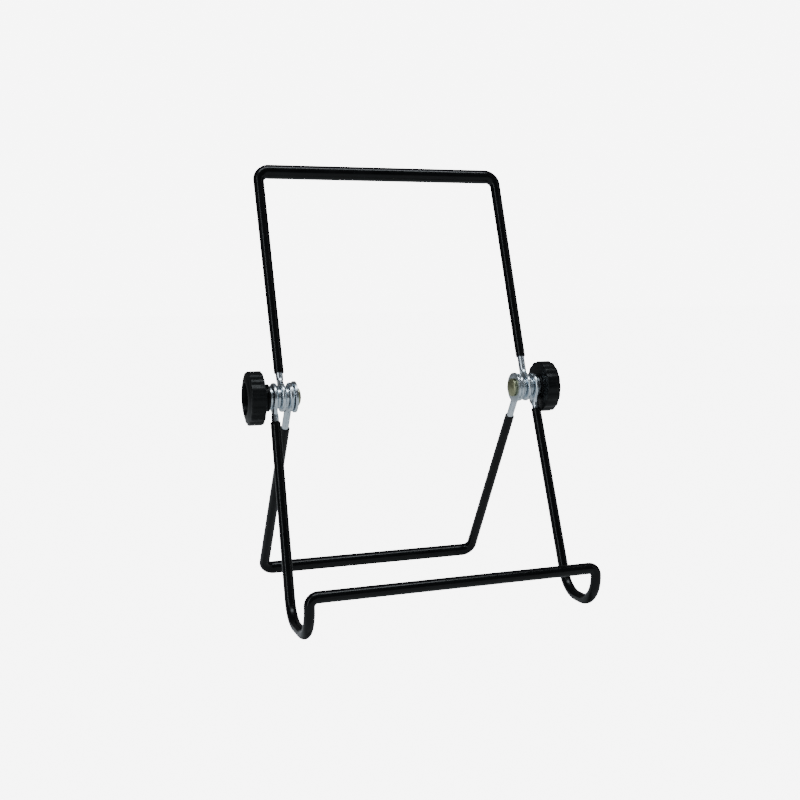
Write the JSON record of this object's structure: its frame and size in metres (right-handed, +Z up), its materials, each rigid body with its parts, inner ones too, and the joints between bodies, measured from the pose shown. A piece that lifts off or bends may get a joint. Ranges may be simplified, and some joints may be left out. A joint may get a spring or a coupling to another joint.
{
  "type": "photo album stand",
  "caption": "Folding wire display stand: leaning upper frame, hooked front ledge and rear prop, clamped by two side knobs.",
  "frame": {"origin": "on the floor, under the centre of the bounding box at rest", "axes": "+X to the stand's left-to-right seen from the front, +Y to the back, +Z up"},
  "size_m": [0.1544, 0.1368, 0.2075],
  "materials": {
    "black_vinyl": "gloss",
    "bright_zinc": "satin",
    "yellow_zinc": "satin",
    "black_plastic": "satin",
    "brass": "satin"
  },
  "bodies": {
    "front_frame": {"front_frame_wire": "bright_zinc", "front_frame_coating": "black_vinyl", "left_bolt": "yellow_zinc", "left_head_washer": "bright_zinc", "left_rear_spacer": "bright_zinc", "left_front_spacer": "bright_zinc", "right_bolt": "yellow_zinc", "right_head_washer": "bright_zinc", "right_rear_spacer": "bright_zinc", "right_front_spacer": "bright_zinc"},
    "upper_frame": {"upper_frame_wire": "bright_zinc", "upper_frame_coating": "black_vinyl"},
    "rear_frame": {"rear_frame_wire": "bright_zinc", "rear_frame_coating": "black_vinyl"},
    "left_knob_washer": {"left_knob_washer": "bright_zinc"},
    "left_knob": {"left_knob": "black_plastic", "left_knob_nut": "brass"},
    "right_knob_washer": {"right_knob_washer": "bright_zinc"},
    "right_knob": {"right_knob": "black_plastic", "right_knob_nut": "brass"}
  },
  "joints": [
    {"name": "upper_frame_tilt", "type": "hinge", "parent": "front_frame", "child": "upper_frame", "pos_m": [0.00135, -0.00078, 0.09754], "axis": [1, 0, 0], "range_deg": [-75, 155]},
    {"name": "rear_frame_fold", "type": "hinge", "parent": "front_frame", "child": "rear_frame", "pos_m": [0.00135, -0.00078, 0.09754], "axis": [1, 0, 0], "range_deg": [-54.2, 33]},
    {"name": "left_clamp_slide", "type": "slide", "parent": "front_frame", "child": "left_knob_washer", "axis": [-1, 0, 0], "range_m": [0, 0.00161]},
    {"name": "left_knob_turn", "type": "hinge", "parent": "left_knob_washer", "child": "left_knob", "pos_m": [-0.07065, -0.00078, 0.09754], "axis": [-1, 0, 0], "range_deg": [0, 720]},
    {"name": "right_clamp_slide", "type": "slide", "parent": "front_frame", "child": "right_knob_washer", "axis": [1, 0, 0], "range_m": [0, 0.00161]},
    {"name": "right_knob_turn", "type": "hinge", "parent": "right_knob_washer", "child": "right_knob", "pos_m": [0.07335, -0.00078, 0.09754], "axis": [1, 0, 0], "range_deg": [0, 720]}
  ],
  "couplings": [
    {"joint": "left_clamp_slide", "follows": "left_knob_turn", "m_per_rad": 0.00012732},
    {"joint": "right_clamp_slide", "follows": "right_knob_turn", "m_per_rad": 0.00012732}
  ]
}
